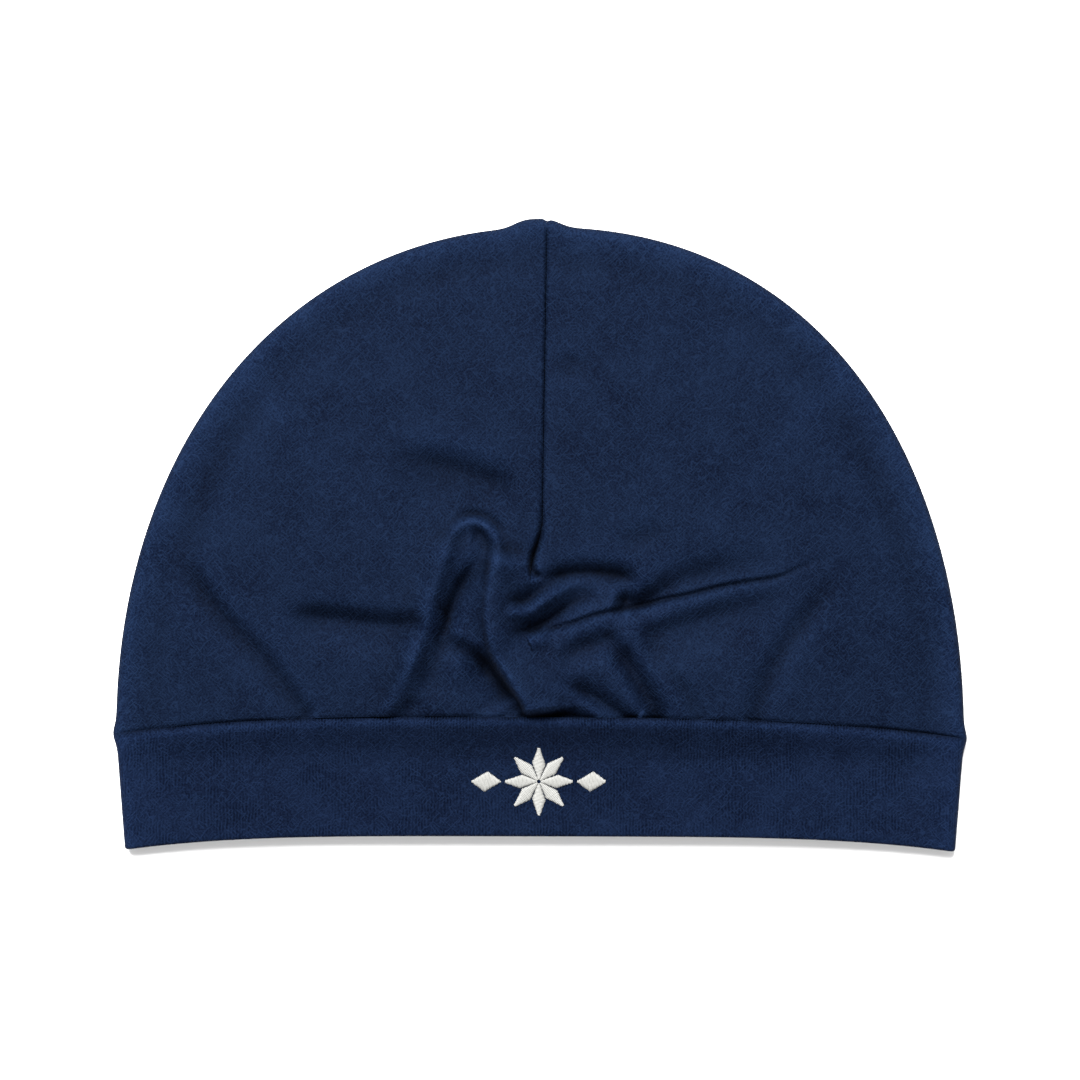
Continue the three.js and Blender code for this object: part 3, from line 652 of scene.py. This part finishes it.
def flat_place(x, y, edge_distance, layer):
    """Where a point of the panel lies on the cloth laid flat, its rounded edge rolled out."""
    left = np.clip((FOLD_LEVEL - edge_distance) / FOLD_LEVEL, 0, 1)
    rolled = FOLD_LEVEL * (math.pi / 2 - 1 - np.arccos(left)) + np.minimum(edge_distance, FOLD_LEVEL)
    reach = np.hypot(x, y - CROWN_BASE_Y) + TINY
    along = rolled / reach
    shifted = LAYER_STEP * layer + 0 * x
    return np.stack([x + along * x, y + along * (y - CROWN_BASE_Y), shifted], axis=-1)


def band_relief(from_seam):
    past = from_seam - BAND_ROLL["at"]
    roll = BAND_ROLL["height"] * bell(past, np.where(past < 0, BAND_ROLL["reach"], BAND_ROLL["reach_below"]))
    dent = BAND_DENT["depth"] * bell(from_seam - BAND_DENT["at"], BAND_DENT["reach"])
    dip = SEAM_DIP["depth"] * bell(from_seam, SEAM_DIP["reach"] / 2)
    cut = SEAM_CUT["depth"] * bell(from_seam, SEAM_CUT["reach"])
    return roll - dent - dip - cut


def tooth(x, from_seam):
    """The wave of the knit's ribs along the band's upper edge, unevenly spaced, from -1 to 1."""
    turns = x / TEETH["pitch"]
    for size, reach, start in TEETH_DRIFT:
        turns = turns + size * np.sin(x / reach + start)
    drift = TEETH_SIZE["drift"] * np.sin(x / TEETH_SIZE["drift_reach"])
    uneven = TEETH_SIZE["middle"] + TEETH_SIZE["change"] * np.sin(x / TEETH_SIZE["reach"] + drift)
    return np.sin(2 * math.pi * turns) * uneven * bell(from_seam, TEETH["reach"])


def band_surface(across, upper, from_seam, depth):
    """Points of the band: across is -1 to 1 from its left edge to its right, upper is 1 on its top side."""
    down = from_seam / BAND_DEPTH
    half_width = mix(CROWN_HALF_WIDTH, HEM_HALF_WIDTH, down) + seam_flare(from_seam)
    x = (half_width - depth) * across
    share = x / half_width
    y = mix(arch_y(BAND_SEAM, share) - CLOSED_GAP / 2, arch_y(HEM, share), down)
    edge = quarter_round((1 - np.abs(across)) * (half_width - depth), FOLD_LEVEL - depth)
    in_field = (1 - smooth_step(*CREASES_END, np.abs(across))) * upper
    outer = 1 - depth / BAND_WALL
    wave = tooth(x, from_seam) * in_field * outer
    y = y + TEETH["lean"] * wave
    top = FOLD_LEVEL + edge + puff_height(x, y, np.abs(share)) + band_relief(from_seam) * in_field
    z = np.where(upper > 0, top + TEETH["height"] * wave, FOLD_LEVEL - edge)
    return np.stack([x, y, z], axis=-1)


def band_section():
    """The doubled cloth cut across: distance from the seam and depth below the outside, all round."""
    lip = BAND_WALL / 2
    straight = BAND_DEPTH - lip
    rows = [(0.0, depth) for depth in SEAM_EDGE_DEPTHS]
    rows += [(CLOSE_ROWS["step"] * k * k, 0.0) for k in range(1, CLOSE_ROWS["count"] + 1)]
    rows += [(d, 0.0) for d in np.linspace(EVEN_ROWS["start"], straight, EVEN_ROWS["count"])]
    for angle in np.linspace(0, math.pi, HEM_STEPS + 1)[1:-1]:
        rows.append((straight + lip * math.sin(angle), lip * (1 - math.cos(angle))))
    rows += [(d, BAND_WALL) for d in np.linspace(straight, 0, UNDER_ROWS)]
    rows += [(d, lip + BAND_SLIT / 2) for d in (0.0, straight / 2, straight - lip)]
    rows += [(d, lip - BAND_SLIT / 2) for d in (straight - lip, straight / 2, 0.0)]
    return rows


def band():
    top = np.linspace(-1 + RIM_SHARE, 1 - RIM_SHARE, BAND_TOP_COLUMNS + 1)
    rim = 1 - RIM_SHARE + RIM_SHARE * np.sin(np.linspace(0, math.pi / 2, RIM_CELLS + 1))[1:]
    bottom = np.linspace(1 - RIM_SHARE, -1 + RIM_SHARE, BAND_BOTTOM_COLUMNS + 1)
    across = np.concatenate([-rim[::-1], top, rim, rim[-2::-1], bottom, -rim[:-1]])
    upper = np.concatenate([np.ones(2 * len(rim) + len(top)), np.zeros(2 * len(rim) - 2 + len(bottom))])
    rows = band_section()
    points = []
    places = []
    painted_shading_values = []
    for from_seam, depth in rows:
        ring = band_surface(across, upper, from_seam, depth)
        points.append(ring)
        edge = (1 - np.abs(across)) * HEM_HALF_WIDTH
        # Painted highlight and shade of the band, with the painted rim highlight
        painted_shading_values.append(band_painted_shading(ring[:, 0], from_seam, upper) + painted_rim_highlight(edge))
        rolled = flat_place(ring[:, 0], 0 * across + CROWN_BASE_Y, edge, BAND_LAYER)
        rolled[:, 1] = -from_seam
        rolled[:, 2] += LAYER_STEP * upper
        places.append(rolled)
    count = len(across)
    lines = (list(range(len(rows))), list(range(count)))
    cloth = Cloth()
    start = cloth.sheet(np.array(points), np.array(places), np.array(painted_shading_values), *lines)
    for i in range(len(rows)):
        near = start[i]
        far = start[(i + 1) % len(rows)]
        for j in range(count):
            k = (j + 1) % count
            cloth.faces.append([near[j], near[k], far[k], far[j]])
    return cloth.mesh_object("band_cloth")


def band_top(x, y):
    """Height of the band's upper side at a place seen from above."""
    share = x / CROWN_HALF_WIDTH
    seam_y = arch_y(BAND_SEAM, share)
    from_seam = BAND_DEPTH * (seam_y - y) / (seam_y - arch_y(HEM, share))
    return 2 * FOLD_LEVEL + puff_height(x, y, np.abs(share)) + band_relief(from_seam)


def band_painted_shading(x, from_seam, upper):
    """How far the band's upper side stands out, from its height a little above and below: a painted
    highlight on its roll and hem, painted shade in its dent.
    """
    share = x / CROWN_HALF_WIDTH
    heights = []
    for step in (-PAINTED_SHADING_STEP, 0.0, PAINTED_SHADING_STEP):
        down = from_seam + step
        y = arch_y(BAND_SEAM, share) - down
        past = np.clip((down - BAND_DEPTH + HEM_TURN["reach"]) / HEM_TURN["reach"], 0, None)
        fallen = HEM_TURN["drop"] * past**2
        heights.append(puff_height(x, y, np.abs(share)) + band_relief(down) - fallen)
    return (heights[1] - (heights[0] + heights[2]) / 2) * upper


class Stitches:
    """Satin stitches of one motif: each thread is a closed tube that arches from side to side."""

    def __init__(self, seed):
        self.points = []
        self.faces = []
        self.random = np.random.default_rng(seed)

    def thread(self, start, end, rise):
        """A thread across from one point to another, over padding that stands highest midway."""
        start, end = np.array(start), np.array(end)
        along = (end - start) / np.linalg.norm(end - start)
        normal = np.array([-along[1], along[0]])
        first = len(self.points)
        steps = np.sin(np.linspace(-math.pi / 2, math.pi / 2, THREAD_STEPS + 1)) * 0.5 + 0.5
        for t in steps:
            x, y = mix(start, end, t)
            lift = math.sqrt(max(0.0, 1 - (2 * t - 1) ** THREAD_ENDS["round_power"]))
            z = float(band_top(x, y)) - THREAD["sink"] + rise * lift
            slim = THREAD["radius"] * mix(THREAD_ENDS["slim"], 1.0, lift)
            for k in range(THREAD_SIDES):
                angle = 2 * math.pi * k / THREAD_SIDES
                out = normal * slim * math.cos(angle)
                self.points.append((x + out[0], y + out[1], z + slim * math.sin(angle)))
        for m in range(THREAD_STEPS):
            ring = first + m * THREAD_SIDES
            for k in range(THREAD_SIDES):
                near, far = ring + k, ring + (k + 1) % THREAD_SIDES
                self.faces.append([near, far, far + THREAD_SIDES, near + THREAD_SIDES])
        self.faces.append(list(range(first + THREAD_SIDES - 1, first - 1, -1)))
        end_ring = first + THREAD_STEPS * THREAD_SIDES
        self.faces.append(list(range(end_ring, end_ring + THREAD_SIDES)))

    def column(self, origin, direction, start, stop, half_width):
        """Threads side by side across a shape whose half width is a function of the way along it."""
        direction = np.array(direction)
        across = np.array([-direction[1], direction[0]]) + THREAD["slant"] * direction
        at = start
        while at < stop:
            reach = half_width(at)
            ends = self.random.uniform(-1, 1, 2) * THREAD["unevenness"]
            middle = np.array(origin) + direction * at
            rise = THREAD["rise"] * min(1.0, THREAD_RISE["least"] + THREAD_RISE["per_mm"] * reach)
            self.thread(middle - across * (reach + ends[0]), middle + across * (reach + ends[1]), rise)
            at += THREAD["pitch"] * (1 + THREAD_PITCH_CHANGE * self.random.uniform(-1, 1))

    def mesh_object(self, name):
        mesh = bpy.data.meshes.new(name)
        mesh.from_pydata((np.array(self.points) * MM).tolist(), [], self.faces)
        mesh.shade_smooth()
        obj = bpy.data.objects.new(name, mesh)
        bpy.context.scene.collection.objects.link(obj)
        return obj


def petal_half_width(at):
    widest = PETAL["widest_at"]
    if at < widest:
        share = (at - PETAL["start"]) / (widest - PETAL["start"])
    else:
        share = (PETAL["tip"] - at) / (PETAL["tip"] - widest)
    return mix(PETAL["blunt"], PETAL["half_width"], max(0.0, share))


def star():
    stitches = Stitches(MOTIF_SEEDS["star"])
    for k in range(PETALS):
        angle = math.pi / 2 + 2 * math.pi * k / PETALS
        direction = (math.cos(angle), math.sin(angle))
        centre = (MOTIF["x"], MOTIF["y"])
        stitches.column(centre, direction, PETAL["start"], PETAL["tip"], petal_half_width)
    return stitches.mesh_object("motif_star_stitches")


def diamond(name, side):
    stitches = Stitches(MOTIF_SEEDS["diamonds"] + side)
    reach = DIAMOND["half_width"]
    centre = (MOTIF["x"] + side * DIAMOND["offset"], MOTIF["y"])

    def half_height(at):
        return mix(DIAMOND["blunt"], DIAMOND["half_height"], 1 - abs(at) / reach)

    stitches.column(centre, (1.0, 0.0), -reach + DIAMOND["start_in"], reach, half_height)
    return stitches.mesh_object(name)


class Graph:
    """Short hand for building a material's nodes."""

    def __init__(self, name):
        self.material = bpy.data.materials.new(name)
        self.material.use_nodes = True
        self.tree = self.material.node_tree
        self.tree.nodes.clear()
        output = self.add("ShaderNodeOutputMaterial")
        self.shader = self.add("ShaderNodeBsdfPrincipled")
        self.tree.links.new(self.shader.outputs["BSDF"], output.inputs["Surface"])

    def add(self, kind, **settings):
        node = self.tree.nodes.new(kind)
        for name, value in settings.items():
            setattr(node, name, value)
        return node

    def put(self, value, socket):
        """Links a socket to another, or sets it to a plain value."""
        if isinstance(value, bpy.types.NodeSocket):
            self.tree.links.new(value, socket)
        else:
            socket.default_value = value

    def feed(self, node, **inputs):
        """Sets or links a node's inputs by name, an underscore standing for a space."""
        for name, value in inputs.items():
            self.put(value, node.inputs[name.replace("_", " ")])

    def math(self, operation, first, second=0.0, third=0.0):
        node = self.add("ShaderNodeMath", operation=operation)
        for socket, value in zip(node.inputs, (first, second, third)):
            self.put(value, socket)
        return node.outputs[0]

    def cloth_place(self):
        return self.add("ShaderNodeAttribute", attribute_name=CLOTH_PLACE).outputs["Vector"]

    def noise(self, place, scale, detail=0.0):
        """Smooth noise from 0 to 1; scale is in cells for each unit of the place."""
        node = self.add("ShaderNodeTexNoise")
        self.feed(node, Vector=place, Scale=scale, Detail=detail)
        return node.outputs["Fac"]

    def vector(self, operation, first, second):
        node = self.add("ShaderNodeVectorMath", operation=operation)
        for socket, value in zip(node.inputs, (first, second)):
            self.put(value, socket)
        return node.outputs["Vector"]

    def split(self, place):
        node = self.add("ShaderNodeSeparateXYZ")
        self.feed(node, Vector=place)
        return node.outputs

    def spread(self, value, low, high):
        node = self.add("ShaderNodeMapRange", clamp=True)
        self.feed(node, Value=value, From_Min=low, From_Max=high)
        return node.outputs["Result"]

    def blend(self, share, colours):
        """A colour between a dark and a light one; the node's sockets 6, 7 and 2 are its colour ones."""
        node = self.add("ShaderNodeMix", data_type="RGBA")
        self.put(share, node.inputs[0])
        for socket, colour in zip(node.inputs[6:8], colours):
            self.put((*colour, 1.0), socket)
        return node.outputs[2]

    def bump(self, height, depth_mm):
        node = self.add("ShaderNodeBump")
        self.feed(node, Height=height, Distance=depth_mm * MM, Strength=1.0)
        self.tree.links.new(node.outputs["Normal"], self.shader.inputs["Normal"])

    def sines(self, value, turns):
        return self.math("SINE", self.math("MULTIPLY", value, 2 * math.pi * turns))


def stroke_bundles(g, diagonal, axis):
    """Short pale strokes side by side across one axis of the diagonal place, here and there."""
    wander = g.noise(diagonal, NOISE["stroke_wander"], detail=1.0)
    wander = g.math("MULTIPLY", wander, STROKES["wander"])
    stripes = g.sines(g.math("ADD", g.split(diagonal)[axis], wander), 1 / STROKES["pitch"])
    stripes = g.math("POWER", g.math("MAXIMUM", stripes, 0.0), 2.0)
    scale = [STROKES["stretch"], STROKES["stretch"], 1.0]
    scale[axis] = STROKES["squeeze"]
    lengths = g.noise(g.vector("MULTIPLY", diagonal, tuple(scale)), NOISE["stroke_length"])
    return g.math("MULTIPLY", stripes, g.spread(lengths, STROKES["from"], STROKES["to"]))


def curls(g, diagonal):
    """Fine pale lines that wind about, in patches."""
    lines = g.math("MAXIMUM", g.sines(g.noise(diagonal, NOISE["curl"]), CURLS["turns"]), 0.0)
    patches = g.spread(g.noise(diagonal, NOISE["curl_patch"]), CURLS["from"], CURLS["to"])
    return g.math("MULTIPLY", g.math("POWER", lines, 3.0), patches)


def knit_material(name, colours, wales):
    """Fine brushed knit; wales is the strength of its upright ribs, 0 where the face hides them."""
    g = Graph(name)
    place = g.cloth_place()
    across, along, _ = g.split(place)
    turned = g.add("ShaderNodeCombineXYZ")
    g.feed(turned, X=g.math("ADD", across, along), Y=g.math("SUBTRACT", across, along))
    diagonal = g.vector("MULTIPLY", turned.outputs[0], (SLANT, SLANT, 0.0))
    strokes = g.math("ADD", stroke_bundles(g, diagonal, 0), stroke_bundles(g, diagonal, 1))
    strokes = g.math("MULTIPLY_ADD", curls(g, diagonal), CURLS["share"], strokes)
    fuzz = g.noise(diagonal, NOISE["fuzz"], detail=1.0)
    cloud = g.noise(place, NOISE["cloud"], detail=3.0)
    specks = g.spread(g.noise(place, NOISE["speck"]), SPECKS["from"], SPECKS["to"])

    height = g.math("MULTIPLY_ADD", strokes, STROKE_SHARES["relief"], fuzz)
    tone = g.math("MULTIPLY_ADD", strokes, STROKE_SHARES["tone"], fuzz)
    tone = g.math("MULTIPLY_ADD", cloud, CLOUD_TONE, tone)
    tone = g.math("MULTIPLY_ADD", specks, SPECKS["tone"], tone)
    if wales > 0:
        wander = g.math("MULTIPLY", g.noise(place, NOISE["rib_wander"], detail=1.0), RIBS["wander"])
        ribs = g.sines(g.math("ADD", across, wander), 1 / RIBS["pitch"])
        shown = g.spread(g.noise(place, NOISE["rib_patch"], detail=1.0), RIBS["from"], RIBS["to"])
        ribs = g.math("MULTIPLY", g.math("MULTIPLY", ribs, shown), wales)
        height = g.math("MULTIPLY_ADD", ribs, RIBS["relief"], height)
        tone = g.math("MULTIPLY_ADD", ribs, RIBS["tone"], tone)
    colour = g.blend(g.spread(tone, *KNIT_TONE), colours)
    # Painted highlight where the cloth stands out and painted shade in its hollows, scaling the colour
    painted_shading_attribute = g.add("ShaderNodeAttribute", attribute_name=PAINTED_SHADING).outputs["Fac"]
    painted_shade_factor = g.spread(painted_shading_attribute, PAINTED_SHADING_TONE["least"], PAINTED_SHADING_TONE["most"])
    painted_shade_factor = g.math("MULTIPLY_ADD", painted_shade_factor, PAINTED_SHADING_TONE["gain"], PAINTED_SHADING_TONE["dark"])
    colour = g.vector("MULTIPLY", colour, painted_shade_factor)
    g.bump(height, KNIT_BUMP)
    g.feed(g.shader, Base_Color=colour, Roughness=0.8, Specular_IOR_Level=0.02)
    g.feed(g.shader, Sheen_Weight=0.01, Sheen_Roughness=0.3, Sheen_Tint=(0.45, 0.55, 0.85, 1.0))
    return g.material


def thread_material():
    g = Graph("white_thread")
    place = g.add("ShaderNodeTexCoord").outputs["Object"]
    strands = g.noise(place, THREAD_GRAIN, detail=2.0)
    g.bump(strands, THREAD_BUMP)
    colour = g.blend(strands, THREAD_COLOURS)
    g.feed(g.shader, Base_Color=colour, Roughness=0.5, Specular_IOR_Level=0.33, Sheen_Weight=0.07)
    return g.material


def floor_material():
    g = Graph("pale_floor")
    place = g.add("ShaderNodeTexCoord").outputs["Object"]
    grain = g.noise(place, FLOOR_GRAIN, detail=3.0)
    colour = g.blend(grain, FLOOR_COLOURS)
    g.feed(g.shader, Base_Color=colour, Roughness=0.9, Specular_IOR_Level=0.1)
    return g.material


def floor():
    far = FLOOR_REACH
    corners = [(-far, -far), (far, -far), (far, far), (-far, far)]
    mesh = bpy.data.meshes.new("floor")
    mesh.from_pydata([(x, y, -FLOOR_GAP * MM) for x, y in corners], [], [(0, 1, 2, 3)])
    obj = bpy.data.objects.new("floor", mesh)
    bpy.context.scene.collection.objects.link(obj)
    obj.data.materials.append(floor_material())


def lights():
    for name, row in LAMPS.items():
        lamp = bpy.data.lights.new(name, "SUN")
        lamp.energy = row["strength"]
        lamp.angle = math.radians(row["softness_deg"])
        obj = bpy.data.objects.new(name, lamp)
        bpy.context.scene.collection.objects.link(obj)
        x, y, z = row["towards"]
        obj.rotation_euler = (math.atan2(math.hypot(x, y), z), 0, math.atan2(x, -y))
    world = bpy.data.worlds.new("surround")
    world.use_nodes = True
    background = world.node_tree.nodes["Background"]
    background.inputs["Color"].default_value = (1, 1, 1, 1)
    background.inputs["Strength"].default_value = SURROUND
    bpy.context.scene.world = world


def camera():
    lens = bpy.data.cameras.new("camera")
    outline_distance = CAMERA_HEIGHT - FOLD_LEVEL
    lens.sensor_width = SENSOR_WIDTH
    lens.lens = SENSOR_WIDTH * outline_distance / (PHOTO_PIXELS * MM_PER_PIXEL)
    lens.clip_end = 100
    obj = bpy.data.objects.new("camera", lens)
    obj.location = (0, PHOTO_CENTRE_Y * MM, CAMERA_HEIGHT * MM)
    bpy.context.scene.collection.objects.link(obj)
    bpy.context.scene.camera = obj


def finish_piece(obj, node, material):
    obj.data.materials.append(material)
    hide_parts(node)
    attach(obj, "root")
    return obj


crown_knit = knit_material("crown_knit", CROWN_COLOURS, wales=0.0)
band_knit = knit_material("band_knit", BAND_COLOURS, wales=1.0)
white_thread = thread_material()

for node, side in (("crown_left_panel", -1), ("crown_right_panel", 1)):
    panel = finish_piece(crown_panel(f"{node}_cloth", side), node, crown_knit)
band_cloth = finish_piece(band(), "band", band_knit)
finish_piece(star(), "motif_star", white_thread)
for node, side in (("motif_diamond_left", -1), ("motif_diamond_right", 1)):
    finish_piece(diamond(f"{node}_stitches", side), node, white_thread)

floor()
lights()
camera()
bpy.context.scene.view_settings.view_transform = "Standard"
